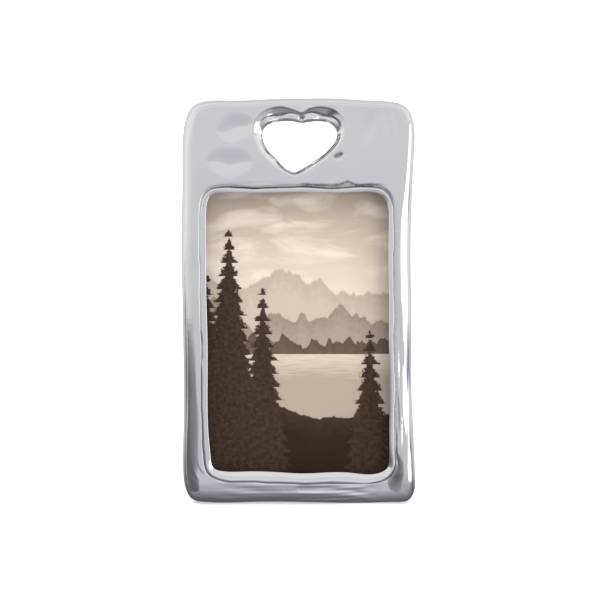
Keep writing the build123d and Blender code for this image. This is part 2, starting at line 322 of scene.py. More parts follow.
def by_side(normals, sizes):
    """A size for each point of an outline, from the side that its normal faces."""
    right, left, up, down, corner = sizes
    sharp = 5
    across = np.abs(normals[:, 0]) ** sharp
    upright = np.abs(normals[:, 1]) ** sharp
    size = corner + across * (np.where(normals[:, 0] > 0, right, left) - corner)
    return size + upright * (np.where(normals[:, 1] > 0, up, down) - corner)


def turned(x, z, centre_x, centre_z, degrees):
    """Places measured along and across a line through a centre."""
    angle = math.radians(degrees)
    along = (x - centre_x) * math.cos(angle) + (z - centre_z) * math.sin(angle)
    over = (z - centre_z) * math.cos(angle) - (x - centre_x) * math.sin(angle)
    return along, over


def from_window(x, z):
    """Distance out from the window, with rounded corners."""
    corner = 8
    past_x = np.abs(x - WINDOW_X) - WINDOW_WIDTH / 2 + corner
    past_z = np.abs(z - WINDOW_Z) - WINDOW_HEIGHT / 2 + corner
    outside = np.hypot(np.maximum(past_x, 0), np.maximum(past_z, 0))
    return outside + np.minimum(np.maximum(past_x, past_z), 0) - corner


def unevenness(x, z):
    """How far the hand-finished face lies behind its foremost plane."""
    swell = np.sin(z / 16 + x / 27) + np.sin(x / 12 - z / 38)
    ripple = np.sin(z / 5.3 + 1.9 * np.sin(x / 17)) * np.sin(x / 21 + 0.4)
    low = 0.24 + 0.08 * swell + 0.05 * ripple
    for centre_x, centre_z, wide, tall, degrees, depth, crease in HOLLOWS:
        along, over = turned(x, z, centre_x, centre_z, degrees)
        over = over + 0.07 * tall * np.sin(along * 5 / wide + centre_x)
        narrowing = np.maximum(1 - (along / wide) ** 2, 1e-6)
        share = np.clip(over / (tall * np.sqrt(narrowing)), -1, 1)
        climbing = np.clip((1 + share) / (1 + crease), 0, 1)
        sunk = np.minimum(climbing**1.3, smooth_step(1, crease - 0.05, share))
        low = low + depth * sunk * narrowing
    for centre_x, centre_z, wide, tall, degrees, depth in SWELLS:
        along, over = turned(x, z, centre_x, centre_z, degrees)
        low = low + depth * np.exp(-((along / wide) ** 2) - (over / tall) ** 2)
    below_window = np.maximum(WINDOW_Z - WINDOW_HEIGHT / 2 - BEAD_WIDTHS[3] - z, 0)
    steepness = FOOT_SLOPE * (1 - 0.5 * smooth_step(-25, 25, x))
    low = low + steepness * below_window**2 / (below_window + 1.5)
    # The dip at the right end of the foot lies further out the higher it is
    deepest = 41 + 0.5 * np.clip(z - 4, 0, 20)
    dip = smooth_step(8, deepest, x) * smooth_step(57, deepest, x) * smooth_step(31, 13, z)
    fall = smooth_step(17, 2, z) * smooth_step(40, 54, x)
    return low + DIP_AT_RIGHT_FOOT * dip + FALL_AT_RIGHT_FOOT * fall + rail_ridges(x, z)


def rail_ridges(x, z):
    """Long low ridges that wander along the foot and the lower halves of both sides. They are
    weak at the left and fade in the two lower corners."""
    away = from_window(x, z)
    foot = 1 - smooth_step(14, 24, z)
    drift = 1.3 * np.sin(x / 15 + 0.6) + 1.5 * np.sin(z / 17) + 0.5 * np.sin((x - z) / 11)
    drift = drift - 0.08 * x
    ridges = np.sin(away * 2 * math.pi / RIDGE_SPACING + drift)
    ridges = ridges + 0.5 * np.sin(away * 2.9 - 1.4 * drift)
    low_down = 1 - smooth_step(70, 125, z)
    strength = np.where(x > 0, 2.0 * low_down, 0.5 * low_down) + 1.4 * foot
    for corner_x in (-49, 49):
        strength = strength * (1 - np.exp(-((x - corner_x) ** 2 + (z - 9) ** 2) / 150))
    strength = strength * (1 - 0.9 * smooth_step(32, 44, x) * smooth_step(36, 20, z))
    return RIDGE_HEIGHT * (1.5 + ridges) * strength * smooth_step(2, 4.5, away)


class Shell:
    """Vertices and faces of one piece, in upright millimetres, gathered ring by ring. Each
    vertex also tells how much painted shade darkens it."""

    def __init__(self):
        self.points = []
        self.faces = []
        self.shade_amount = []

    def ring(self, loop, depth, shade_amount=0):
        """Adds an outline at a depth, one for all or one for each point, and tells its numbers."""
        first = len(self.points)
        depths = np.broadcast_to(depth, (len(loop),))
        self.points += [(x, y, z) for (x, z), y in zip(loop, depths)]
        self.shade_amount += list(np.broadcast_to(shade_amount, (len(loop),)))
        return list(range(first, first + len(loop)))

    def strip(self, one, other):
        """Closes the band between two rings of as many points."""
        count = len(one)
        for i in range(count):
            after = (i + 1) % count
            self.faces.append((one[i], one[after], other[after], other[i]))

    def rings(self, stages):
        """Rings from their loops and depths, with a band between each two."""
        made = [self.ring(*stage) for stage in stages]
        for one, other in zip(made, made[1:]):
            self.strip(one, other)

    def sheet(self, outer, holes, depth_at, grid_step=None, shade_at=None):
        """Fills between closed outlines, over a grid of points if grid_step is given."""
        loops = [outer, *holes]
        flat = [tuple(p) for loop in loops for p in loop]
        edges = []
        first = 0
        for loop in loops:
            count = len(loop)
            edges += [(first + i, first + (i + 1) % count) for i in range(count)]
            first += count
        if grid_step:
            low, high = outer.min(axis=0), outer.max(axis=0)
            xs, zs = (np.arange(a, b, grid_step) for a, b in zip(low, high))
            grid = np.stack(np.meshgrid(xs, zs), axis=-1).reshape(-1, 2)
            margin = grid_step * 0.6
            keep = inside(grid, outer - margin * outward(outer))
            for hole in holes:
                keep &= ~inside(grid, hole + margin * outward(hole))
            flat += [tuple(p) for p in grid[keep]]
        within_edges, same_point = 1, 1e-5
        verts, _, faces, *_ = delaunay_2d_cdt(
            [Vector(p) for p in flat], edges, [], within_edges, same_point
        )
        spots = np.array([tuple(v) for v in verts])
        middles = np.array([spots[list(face)].mean(axis=0) for face in faces])
        keep = inside(middles, outer)
        for hole in holes:
            keep &= ~inside(middles, hole)
        depths = depth_at(spots[:, 0], spots[:, 1])
        base = len(self.points)
        self.points += [(x, y, z) for (x, z), y in zip(spots, depths)]
        self.shade_amount += list(shade_at(*spots.T) if shade_at else 0 * depths)
        self.faces += [tuple(base + i for i in face) for face, kept in zip(faces, keep) if kept]

    def mesh(self, name):
        """The finished mesh in the row frame, welded, standing flat on the ground."""
        mesh = bpy.data.meshes.new(name)
        mesh.from_pydata(self.points, [], self.faces)
        work = bmesh.new()
        work.from_mesh(mesh)
        # Each vertex keeps its painted shade for the material
        layer = work.verts.layers.float.new("painted_shade")
        for vertex, amount in zip(work.verts, self.shade_amount):
            vertex[layer] = amount
        bmesh.ops.remove_doubles(work, verts=work.verts, dist=WELD)
        bmesh.ops.transform(work, matrix=UPRIGHT_TO_ROW, verts=work.verts)
        everything = [*work.verts, *work.edges, *work.faces]
        bmesh.ops.bisect_plane(work, geom=everything, plane_no=(0, 0, -1), clear_outer=True)
        bmesh.ops.holes_fill(work, edges=[e for e in work.edges if e.is_boundary], sides=0)
        bmesh.ops.recalc_face_normals(work, faces=work.faces)
        work.to_mesh(mesh)
        work.free()
        return mesh


def face_depth(x, z):
    """Depth of the finished face."""
    return FACE + unevenness(x, z)


def rectangle_loop(half_width, half_height, corner, arc_count=8):
    """Clockwise rectangle with rounded corners, round the middle of the window."""
    points = []
    for side, end, start in ((1, 1, 90), (1, -1, 0), (-1, -1, -90), (-1, 1, -180)):
        for step in range(arc_count + 1):
            angle = math.radians(start - 90 * step / arc_count)
            x = side * (half_width - corner) + corner * math.cos(angle)
            z = end * (half_height - corner) + corner * math.sin(angle)
            points.append((WINDOW_X + x, WINDOW_Z + z))
    return np.array(points)


def steady_normals(loop):
    """Outward normals that turn evenly round the corners."""
    normals = softened(outward(loop), NORMALS_REACH)
    return normals / np.linalg.norm(normals, axis=1)[:, None]


def rolled_edge(outline):
    """Rings from the rear edge round the rolled edge to the flat of the face."""
    normals = steady_normals(outline)
    widths = by_side(normals, ROLL_WIDTHS)
    height = outline[:, 1]
    for side, start, full, change in ROLL_CHANGES:
        facing = smooth_step(0.3, 0.9, side * normals[:, 0])
        widths += change * smooth_step(start, full, height) * facing
    middle, reach, narrower = NARROW_STRETCH
    facing = smooth_step(0.3, 0.9, normals[:, 0])
    widths -= narrower * np.exp(-(((height - middle) / reach) ** 2)) * facing
    widths = softened(widths, ROLL_REACH)[:, None]
    drops = softened(by_side(normals, ROLL_DEPTHS), ROLL_REACH)
    fullness = softened(by_side(normals, ROLL_FULLNESS), ROLL_REACH)
    stages = [(outline - REAR_BREAK * normals, 0), (outline, -REAR_BREAK)]
    for step in range(ROLL_RINGS + 1):
        angle = math.radians(90) * step / ROLL_RINGS
        inward = 1 - max(math.cos(angle), 0) ** fullness[:, None]
        loop = outline - widths * inward * normals
        share = math.sin(angle) ** fullness
        depth = FACE + drops * (1 - share) + share * unevenness(*loop.T)
        stages.append((loop, depth))
    return stages


def window_bead(window):
    """Rings from the glass up the window's edge and over its bead, to the face."""
    normals = steady_normals(window)
    along = np.linspace(0, 2 * math.pi, len(window), endpoint=False)
    waver = 0.16 * np.sin(13 * along + 1) + 0.12 * np.sin(23 * along) + 0.05 * np.sin(47 * along)
    widths = softened(by_side(normals, BEAD_WIDTHS), BEAD_REACH) + waver
    lips, shares, grooves, slopes = (
        softened(by_side(normals, sizes), BEAD_REACH)
        for sizes in (BEAD_LIPS, CROWN_SHARES, GROOVE_DEPTHS, GROOVE_SLOPES)
    )
    crown = FACE - BEAD_HEIGHT
    # Painted shade for the groove, by side and patchy along it
    patchy = 0.75 + 0.25 * np.sin(9 * along) * np.sin(4 * along + 1)
    painted_shade = softened(by_side(normals, GROOVE_SHADE), BEAD_REACH) * patchy

    def ring(distance, depth, shade_amount=0):
        return window + distance[:, None] * normals, depth, shade_amount

    lip_depth = crown + lips
    stages = [(window + UNDERCUT * normals, GLASS_FRONT), (window, lip_depth + LIP_ROUND)]
    for step in range(1, LIP_RINGS + 1):
        angle = math.radians(90) * step / LIP_RINGS
        distance = np.full(len(window), LIP_ROUND * (1 - math.cos(angle)))
        stages.append(ring(distance, lip_depth + LIP_ROUND * (1 - math.sin(angle))))
    for step in range(1, BEAD_RINGS + 1):
        share = step / BEAD_RINGS
        distance = LIP_ROUND + (shares * widths - LIP_ROUND) * share
        stages.append(ring(distance, crown + lips * (1 - share) ** 1.6))
    foot = face_depth(*ring(widths, 0)[0].T) + grooves
    for step in range(1, BEAD_RINGS + 1):
        angle = math.radians(90) * step / BEAD_RINGS
        distance = widths * (shares + (1 - shares) * math.sin(angle))
        depth = crown + (foot - crown) * (1 - math.cos(angle))
        # The bead's outer fall takes painted shade near its foot
        stages.append(ring(distance, depth, painted_shade * smooth_step(0.6, 1, step / BEAD_RINGS)))
    for step in range(1, GROOVE_RINGS + 1):
        share = step / GROOVE_RINGS
        loop = ring(widths + slopes * share, 0)[0]
        depth = face_depth(*loop.T) + grooves * (1 - share) ** 1.6
        # Painted shade fades up the groove's outer slope and meets the painted shade on the face
        shade_amount = painted_shade * (1 - share) ** 1.7
        stages.append((loop, depth, np.maximum(shade_amount, shade_on_face(*loop.T))))
    return stages


def heart_flare():
    """Rings from the rear edge of the heart up its throat and out over its flare."""
    throat = heart_loop(0, HEART_HALF_COUNT)
    normals = steady_normals(throat)
    lobes = softened(smooth_step(0.0, 0.75, normals[:, 1]), 5)
    steepness = 0.4 * softened(smooth_step(-0.8, 0.1, normals[:, 1]), 6)
    halfway = heart_loop(0.5, HEART_HALF_COUNT)
    from_cleft = np.linalg.norm(halfway - halfway[0], axis=1)
    reaches = softened(np.interp(from_cleft, *zip(*SCOOP_REACHES)), 3)
    sinking = 1 - SHALLOWER_AT_LOBE_ENDS * softened(smooth_step(14, 19, from_cleft), 3)
    notch = CLEFT_NOTCH_DEPTH * np.exp(-((from_cleft / CLEFT_NOTCH_WIDTH) ** 2))
    stages = [(throat + THROAT_BREAK * normals, 0), (throat, -THROAT_BREAK)]
    for step in range(FLARE_RINGS + 1):
        inward = (1 - step / FLARE_RINGS) ** 0.85
        loop = heart_loop(1 - inward, HEART_HALF_COUNT)
        scooped = sinking * reaches * np.interp(inward / reaches, *zip(*SCOOP))
        scooped = scooped + np.interp(inward, *zip(*LEDGE_LIP))
        scooped = scooped + notch * smooth_step(0.3, 0.8, inward)
        rolled = np.interp(inward, *zip(*GENTLE_FLANK))
        rolled = rolled + steepness * (np.interp(inward, *zip(*STEEP_FLANK)) - rolled)
        profile = lobes * scooped + (1 - lobes) * rolled
        depth = FACE + profile + (1 - inward) * unevenness(*loop.T)
        # Painted shade where each scoop drops to its ledge, and less under its rim
        beyond = inward / reaches
        shade_amount = np.exp(-(((beyond - 0.62) / 0.09) ** 2))
        shade_amount += 0.5 * np.exp(-(((beyond - 0.08) / 0.06) ** 2))
        stages.append((loop, depth, lobes * shade_amount * sinking))
    return stages


def shade_on_face(x, z):
    """Painted shade in a fine line that wanders above the window's groove, with a rise at the
    right, and in the pit to the lower right of the heart."""
    line = 168.9 + 0.25 * np.sin(x / 3.1) + 0.15 * np.sin(x / 1.9 + 1)
    line = line + 1.3 * np.exp(-(((x - 26.5) / 2.8) ** 2))
    reach = np.where(z < line, 1.1, 0.5)
    along = smooth_step(-2, 6, x) * (1 - smooth_step(38, 48, x))
    painted_shade = 0.9 * along * np.exp(-(((z - line) / reach) ** 2))
    across, over = turned(x, z, 21.2, 184.3, 24)
    pit = smooth_step(1, 0.55, np.hypot(across / 3.2, over / 1.6))
    return np.maximum(painted_shade, (0.7 + 0.3 * np.abs(across) / 3.2) * pit)


def make_casting():
    """The casting's mesh: its face between the three sets of rings, the recess and the rear."""
    shell = Shell()
    outline = curve_through(
        placed(OUTLINE_SHARES, FRAME_WIDTH, FRAME_HEIGHT, 0, 0), OUTLINE_COUNT
    )
    window = curve_through(
        placed(WINDOW_SHARES, WINDOW_WIDTH, WINDOW_HEIGHT, WINDOW_X, WINDOW_Z), WINDOW_COUNT
    )
    edge, bead, flare = rolled_edge(outline), window_bead(window), heart_flare()
    for stages in (edge, bead, flare):
        shell.rings(stages)
    shell.sheet(
        edge[-1][0], [bead[-1][0], flare[-1][0]], face_depth, GRID_STEP, shade_on_face
    )

    recess = rectangle_loop(
        PRINT_WIDTH / 2 + RECESS_GAP, PRINT_HEIGHT / 2 + RECESS_GAP, RECESS_CORNER
    )
    shell.rings([(recess, GLASS_FRONT), (recess, 0)])
    shell.sheet(recess, [bead[0][0]], lambda x, z: np.full(len(x), GLASS_FRONT))
    shell.sheet(edge[0][0], [recess, flare[0][0]], lambda x, z: np.zeros(len(x)))
    return shell.mesh("casting")


# Materials

def linear(hex_colour):
    """Linear RGBA from an sRGB hex value."""
    parts = [int(hex_colour[i : i + 2], 16) / 255 for i in (1, 3, 5)]
    return [c / 12.92 if c <= 0.04045 else ((c + 0.055) / 1.055) ** 2.4 for c in parts] + [1]


def node(tree, kind, *inputs, stops=None, **named):
    """Adds a node. Its inputs come in order, or by name with a capital and _ for each space, and
    are values, sockets, or nodes, which give their first output in use. Names in small letters are
    its settings, and stops are a ramp's. The kind of a shader node leaves out ShaderNode."""
    made = tree.nodes.new(kind if "Node" in kind else "ShaderNode" + kind)
    for name, value in named.items():
        if name.islower():
            setattr(made, name, value)
    wanted = list(zip(made.inputs, inputs))
    for name, value in named.items():
        if not name.islower():
            label = name.replace("_", " ")
            socket = next(one for one in made.inputs if one.enabled and one.name == label)
            wanted.append((socket, value))
    for socket, value in wanted:
        if isinstance(value, bpy.types.Node):
            value = next(output for output in value.outputs if output.enabled)
        if isinstance(value, bpy.types.NodeSocket):
            tree.links.new(value, socket)
        else:
            socket.default_value = value
    if stops:
        elements = made.color_ramp.elements
        while len(elements) < len(stops):
            elements.new(1)
        for element, (place, colour) in zip(elements, stops):
            element.position = place
            element.color = colour
    return made


def material(name, build):
    """A material whose surface is the shader that build makes in its empty tree."""
    made = bpy.data.materials.new(name)
    made.use_nodes = True
    tree = made.node_tree
    tree.nodes.clear()
    node(tree, "OutputMaterial", Surface=build(tree))
    return made


def upright_millimetres(tree):
    """The piece's own place, turned upright and measured in millimetres."""
    place = node(tree, "TexCoord").outputs["Object"]
    return node(
        tree, "Mapping", Vector=place, Location=UPRIGHT_TO_ROW.inverted().translation,
        Rotation=(LEAN, 0, 0), Scale=(1 / MM, 1 / MM, 1 / MM),
    )


def polished_cast_aluminium(tree):
    """Sand-cast aluminium, ground and polished by hand on a mop. A bright, slightly cool mirror
    that still holds faint polishing lines and cloudy patches, with painted shade in its grooves."""
    place = upright_millimetres(tree)
    cloudy = node(tree, "TexNoise", Vector=place, Scale=1 / 14, Detail=3.0, Roughness=0.5)
    roughness = node(
        tree, "MapRange", Value=cloudy, From_Min=0.3, From_Max=0.7, To_Min=0.045, To_Max=0.085
    )
    stretched = node(
        tree, "Mapping", Vector=place, Rotation=(0, math.radians(12), 0),
        Scale=(1 / 9, 1, 1 / 0.5),
    )
    lines = node(tree, "TexNoise", Vector=stretched, Scale=1.0, Detail=3.0, Roughness=0.65)
    undulating = node(tree, "TexNoise", Vector=place, Scale=1 / 5, Detail=2.0, Roughness=0.4)
    height = node(tree, "Math", undulating, 4.0, lines, operation="MULTIPLY_ADD")
    bump = node(tree, "Bump", Height=height, Strength=0.05, Distance=0.1 * MM)
    # Painted shade from each vertex, broken up by noise, darkens the colour and roughens the finish
    shade_amount = node(tree, "Attribute", attribute_name="painted_shade").outputs["Fac"]
    dotted = node(tree, "TexNoise", Vector=place, Scale=1 / 1.6, Detail=3.0, Roughness=0.6)
    dotted = node(tree, "MapRange", Value=dotted, From_Min=0.3, From_Max=0.6, To_Min=0.55)
    shade_amount = node(tree, "Math", shade_amount, dotted, operation="MULTIPLY")
    colour = node(
        tree, "Mix", Factor=shade_amount, A=linear("#E9E9EB"), B=linear("#57575F"), data_type="RGBA"
    )
    roughness = node(tree, "Math", shade_amount, 0.12, roughness, operation="MULTIPLY_ADD")
    return node(
        tree, "BsdfPrincipled", Base_Color=colour, Metallic=1.0, Roughness=roughness, Normal=bump
    )


def blasted_cast_aluminium(tree):
    """The same casting where it is only shot-blasted: dull, pale grey, with a fine even grain."""
    place = upright_millimetres(tree)
    grain = node(tree, "TexNoise", Vector=place, Scale=1 / 0.45, Detail=4.0, Roughness=0.7)
    stains = node(tree, "TexNoise", Vector=place, Scale=1 / 22, Detail=5.0, Roughness=0.6)
    colour = node(
        tree, "ValToRGB", Fac=stains, stops=[(0.3, linear("#A3A4A6")), (0.7, linear("#BEBFC1"))]
    )
    roughness = node(tree, "MapRange", Value=grain, To_Min=0.42, To_Max=0.62)
    bump = node(tree, "Bump", Height=grain, Strength=0.5, Distance=0.12 * MM)
    return node(
        tree, "BsdfPrincipled", Base_Color=colour, Metallic=0.4, Roughness=roughness, Normal=bump
    )


def clear_float_glass(tree):
    """Thin clear float glass: no veil when seen squarely, and a mirror only at a slant."""
    slant = node(tree, "LayerWeight", Blend=0.06).outputs["Facing"]
    clear = node(tree, "BsdfTransparent", Color=linear("#FEFEFE"))
    mirror = node(tree, "BsdfGlossy", Color=linear("#FFFFFF"), Roughness=0.02)
    return node(tree, "MixShader", slant, clear, mirror)


def fibre_board(name, fibres, colours, relief, roughness):
    """Pressed board, mottled in two colours by its fibres, which also stand out a little."""
    def build(tree):
        fibre = node(tree, "TexNoise", Vector=upright_millimetres(tree), **fibres)
        colour = node(
            tree, "ValToRGB", Fac=fibre,
            stops=[(0.3, linear(colours[0])), (0.7, linear(colours[1]))],
        )
        bump = node(tree, "Bump", Height=fibre, **relief)
        return node(tree, "BsdfPrincipled", Base_Color=colour, Roughness=roughness, Normal=bump)

    return material(name, build)


def black_flock_paper(tree):
    """Paper with short nylon fibres stuck upright on it, like velvet: deep black with a soft
    sheen at grazing angles and faint brushed patches. Its fibres are drawn coarser, to show."""
    place = upright_millimetres(tree)
    fibre = node(tree, "TexNoise", Vector=place, Scale=1 / 0.35, Detail=3.0, Roughness=0.8)
    brushed = node(tree, "TexNoise", Vector=place, Scale=1 / 16, Detail=3.0, Distortion=0.8)
    mixed = node(tree, "Math", brushed, 0.6, fibre, operation="MULTIPLY_ADD")
    colour = node(
        tree, "ValToRGB", Fac=mixed, stops=[(0.55, linear("#141416")), (1.0, linear("#2C2C30"))]
    )
    bump = node(tree, "Bump", Height=fibre, Strength=0.7, Distance=0.2 * MM)
    return node(
        tree, "BsdfPrincipled", Base_Color=colour, Roughness=0.95, Sheen_Weight=0.35,
        Sheen_Roughness=0.4, Sheen_Tint=linear("#B8B8C4"), Normal=bump,
    )


def nickel_plated_steel(tree):
    """Pressed sheet steel, rolled and then nickel plated: warm, bright, with fine rolling lines."""
    place = upright_millimetres(tree)
    rolled = node(tree, "Mapping", Vector=place, Scale=(1 / 0.25, 1, 1 / 6))
    lines = node(tree, "TexNoise", Vector=rolled, Scale=1.0, Detail=3.0, Roughness=0.6)
    handled = node(tree, "TexNoise", Vector=place, Scale=1 / 5, Detail=4.0, Roughness=0.6)
    roughness = node(
        tree, "MapRange", Value=handled, From_Min=0.3, From_Max=0.7, To_Min=0.24, To_Max=0.4
    )
    bump = node(tree, "Bump", Height=lines, Strength=0.12, Distance=0.03 * MM)
    return node(
        tree, "BsdfPrincipled", Base_Color=linear("#D3CFC6"), Metallic=1.0, Roughness=roughness,
        Normal=bump,
    )


def zinc_plated_steel(tree):
    """Turned steel screws in bright zinc: cooler than the nickel and a little cloudy."""
    cloudy = node(
        tree, "TexNoise", Vector=upright_millimetres(tree), Scale=1 / 1.5, Detail=4.0,
        Roughness=0.6,
    )
    colour = node(
        tree, "ValToRGB", Fac=cloudy, stops=[(0.3, linear("#C6CBD0")), (0.7, linear("#DFE2E5"))]
    )
    roughness = node(tree, "MapRange", Value=cloudy, To_Min=0.28, To_Max=0.48)
    return node(tree, "BsdfPrincipled", Base_Color=colour, Metallic=1.0, Roughness=roughness)


# The picture under the glass is a plain lake view in sepia. Each layer is drawn over the one
# before: its height on the print, how far and how widely it rises and falls, how soft its top
# is, its colours at the top and lower down, and the width and height of its mottling.
PRINT_LAYERS = [
    (24.0, 34.0, 52.0, 0.7, "#A8998B", "#B7A99B", 3, 3),
    (8.0, 26.0, 34.0, 0.4, "#86776A", "#9C8D80", 3, 3),
    (-5.0, 9.0, 9.0, 0.3, "#54453A", "#65564A", 3, 3),
    (-11.5, 0.5, 60.0, 0.15, "#CDBFAF", "#A39485", 12, 1.1),
    (-44.0, 13.0, 36.0, 0.3, "#3E2F24", "#2A1E16", 3, 3),
]
# Pines on the near bank: place across, foot, top and half width
PRINT_PINES = [
    (-37.0, -52.0, 58.0, 17.0), (-19.0, -50.0, 27.0, 11.0), (-49.0, -50.0, 34.0, 14.0),
    (38.0, -50.0, 4.0, 8.5),
]


def sepia_print(tree):
    """A landscape on glossy sepia-toned photographic paper, with film grain and darker edges."""
    place = upright_millimetres(tree)
    parts = node(tree, "SeparateXYZ", place)
    across = parts.outputs["X"]
    up = node(tree, "Math", parts.outputs["Z"], WINDOW_Z, operation="SUBTRACT")
    print_place = node(tree, "CombineXYZ", X=across, Y=up)

    sky_height = node(tree, "MapRange", Value=up, From_Min=10.0, From_Max=76.0)
    sky = node(
        tree, "ValToRGB", Fac=sky_height,
        stops=[(0.0, linear("#D5C8B8")), (0.5, linear("#BDAFA0")), (1.0, linear("#A39485"))],
    )
    cloud_place = node(tree, "Mapping", Vector=print_place, Scale=(1 / 44, 1 / 15, 1))
    clouds = node(
        tree, "TexNoise", Vector=cloud_place, Scale=1.0, Detail=7.0, Roughness=0.55,
        Distortion=0.4,
    )
    cloudy = node(tree, "MapRange", Value=clouds, From_Min=0.47, From_Max=0.68, To_Max=0.85)
    picture = node(tree, "Mix", Factor=cloudy, A=sky, B=linear("#E4D9CB"), data_type="RGBA")

    for number, layer in enumerate(PRINT_LAYERS):
        height, rise, spread, soft, top, foot, mottle_width, mottle_height = layer
        # Each layer takes its ridge from another stretch of the noise
        drift = node(
            tree, "Math", across, 1 / spread, 7.3 * number + 1.7, operation="MULTIPLY_ADD"
        )
        ridge = node(
            tree, "TexNoise", W=drift, Scale=1.0, Detail=6.0, Roughness=0.5, noise_dimensions="1D"
        )
        edge = node(tree, "Math", ridge, 2 * rise, height - rise, operation="MULTIPLY_ADD")
        under = node(tree, "Math", edge, up, operation="SUBTRACT")
        within = node(tree, "MapRange", Value=under, From_Min=-soft, From_Max=soft)
        mottle_place = node(
            tree, "Mapping", Vector=print_place, Scale=(1 / mottle_width, 1 / mottle_height, 1)
        )
        tones = node(tree, "TexNoise", Vector=mottle_place, Scale=1.0, Detail=5.0, Roughness=0.65)
        depth = node(tree, "Math", under, 1 / 26, tones, operation="MULTIPLY_ADD")
        shade = node(tree, "ValToRGB", Fac=depth, stops=[(0.35, linear(top)), (1.0, linear(foot))])
        picture = node(tree, "Mix", Factor=within, A=picture, B=shade, data_type="RGBA")

    for centre, foot, top, half_width in PRINT_PINES:
        below_top = node(tree, "Math", top, up, operation="SUBTRACT")
        # A pine widens from tier to tier, 7 mm apart, and its edges are ragged
        tier = node(tree, "Math", below_top, 7.0, operation="MODULO")
        needles = node(
            tree, "TexNoise", Vector=print_place, Scale=1 / 2.2, Detail=5.0, Roughness=0.7
        )
        spread = node(tree, "Math", below_top, half_width / (top - foot), operation="MULTIPLY")
        tiered = node(tree, "Math", tier, 0.45, spread, operation="MULTIPLY_ADD")
        ragged = node(tree, "Math", needles, 9.0, tiered, operation="MULTIPLY_ADD")
        away = node(tree, "Math", across, centre, operation="SUBTRACT")
        away = node(tree, "Math", away, operation="ABSOLUTE")
        reach = node(tree, "Math", ragged, away, operation="SUBTRACT")
        within = node(tree, "MapRange", Value=reach, From_Min=6.0, From_Max=6.6)
        below = node(tree, "Math", below_top, 0.0, operation="GREATER_THAN")
        within = node(tree, "Math", within, below, operation="MULTIPLY")
        shade = node(
            tree, "ValToRGB", Fac=needles,
            stops=[(0.35, linear("#2B1F17")), (0.75, linear("#4A3A2E"))],
        )
        picture = node(tree, "Mix", Factor=within, A=picture, B=shade, data_type="RGBA")

    grain = node(tree, "TexNoise", Vector=print_place, Scale=1 / 0.5, Detail=3.0, Roughness=0.8)
    grain = node(tree, "MapRange", Value=grain, To_Min=0.86, To_Max=1.14)
    centred = node(
        tree, "Mapping", Vector=print_place, Scale=(1.3 / WINDOW_WIDTH, 1.3 / WINDOW_HEIGHT, 1)
    )
    away = node(tree, "VectorMath", centred, operation="LENGTH")
    edges = node(
        tree, "MapRange", Value=away, From_Min=0.45, From_Max=1.05, To_Min=1.0, To_Max=0.8
    )
    toning = node(tree, "Math", grain, edges, operation="MULTIPLY")
    colour = node(tree, "VectorMath", picture, Scale=toning, operation="SCALE")
    return node(tree, "BsdfPrincipled", Base_Color=colour, Roughness=0.45, Specular_IOR_Level=0.12)


POLISHED = material("polished_cast_aluminium", polished_cast_aluminium)
BLASTED = material("blasted_cast_aluminium", blasted_cast_aluminium)
NICKEL = material("nickel_plated_steel", nickel_plated_steel)
ZINC = material("zinc_plated_steel", zinc_plated_steel)
FLOCK = material("black_flock_paper", black_flock_paper)
GLASS = material("clear_float_glass", clear_float_glass)
PRINT = material("sepia_print", sepia_print)
# Wet-pressed hardboard: brown, slightly shiny, with darker wood fibres
HARDBOARD = fibre_board(
    "pressed_hardboard", dict(Scale=1 / 0.8, Detail=6.0, Roughness=0.75),
    ("#5A4029", "#83603F"), dict(Strength=0.4, Distance=0.08 * MM), roughness=0.6,
)
# Recycled greyboard: dull, warm grey, with flecks of paper fibre
GREYBOARD = fibre_board(
    "greyboard", dict(Scale=1 / 0.6, Detail=5.0, Roughness=0.7),
    ("#8A8781", "#A9A59D"), dict(Strength=0.3, Distance=0.05 * MM), roughness=0.95,
)


# Pieces

def add_object(name, data):
    """Puts a new object in the scene."""
    made = bpy.data.objects.new(name, data)
    bpy.context.scene.collection.objects.link(made)
    return made


def show(mesh, name, materials, sharp=38):
    """Puts a mesh in the scene, smooth but for edges that turn by more than sharp degrees."""
    for surface in materials:
        mesh.materials.append(surface)
    mesh.polygons.foreach_set("use_smooth", [True] * len(mesh.polygons))
    mesh.set_sharp_from_angle(angle=math.radians(sharp))
    return add_object(name, mesh)


def stand_for(piece, node_name, body):
    """Puts a piece in a CAD node's place, hiding the node, on its body."""
    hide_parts(node_name)
    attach(piece, body)


def ease_edges(rough, width, segments):
    """Rounds an object's sharp edges by a width in metres."""
    bevel = rough.modifiers.new("eased_edges", "BEVEL")
    bevel.width = width
    bevel.segments = segments
    bevel.limit_method = "ANGLE"
    bevel.angle_limit = math.radians(40)
    bevel.use_clamp_overlap = True


def plain_mesh(grown):
    """The mesh that an object's modifiers make of it. The object is taken away."""
    graph = bpy.context.evaluated_depsgraph_get()
    whole = bpy.data.meshes.new_from_object(grown.evaluated_get(graph))
    bpy.data.objects.remove(grown)
    return whole


def add_casting():
    """The casting, polished where it is seen and left blasted at its rear and in the recess."""
    mesh = make_casting()
    casting = show(mesh, "casting", [POLISHED, BLASTED])
    to_rear = Vector((0, math.cos(LEAN), -math.sin(LEAN)))
    to_upright = UPRIGHT_TO_ROW.inverted()
    near = 0.1
    for polygon in mesh.polygons:
        middle = to_upright @ polygon.center
        rearward = polygon.normal.dot(to_rear)
        in_recess = middle.y > GLASS_FRONT - near and rearward < 0.05
        in_recess &= abs(middle.x - WINDOW_X) < PRINT_WIDTH / 2 + RECESS_GAP + near
        in_recess &= abs(middle.z - WINDOW_Z) < PRINT_HEIGHT / 2 + RECESS_GAP + near
        polygon.material_index = int(rearward > 0.6 or in_recess)
    stand_for(casting, "cast_frame", "frame")


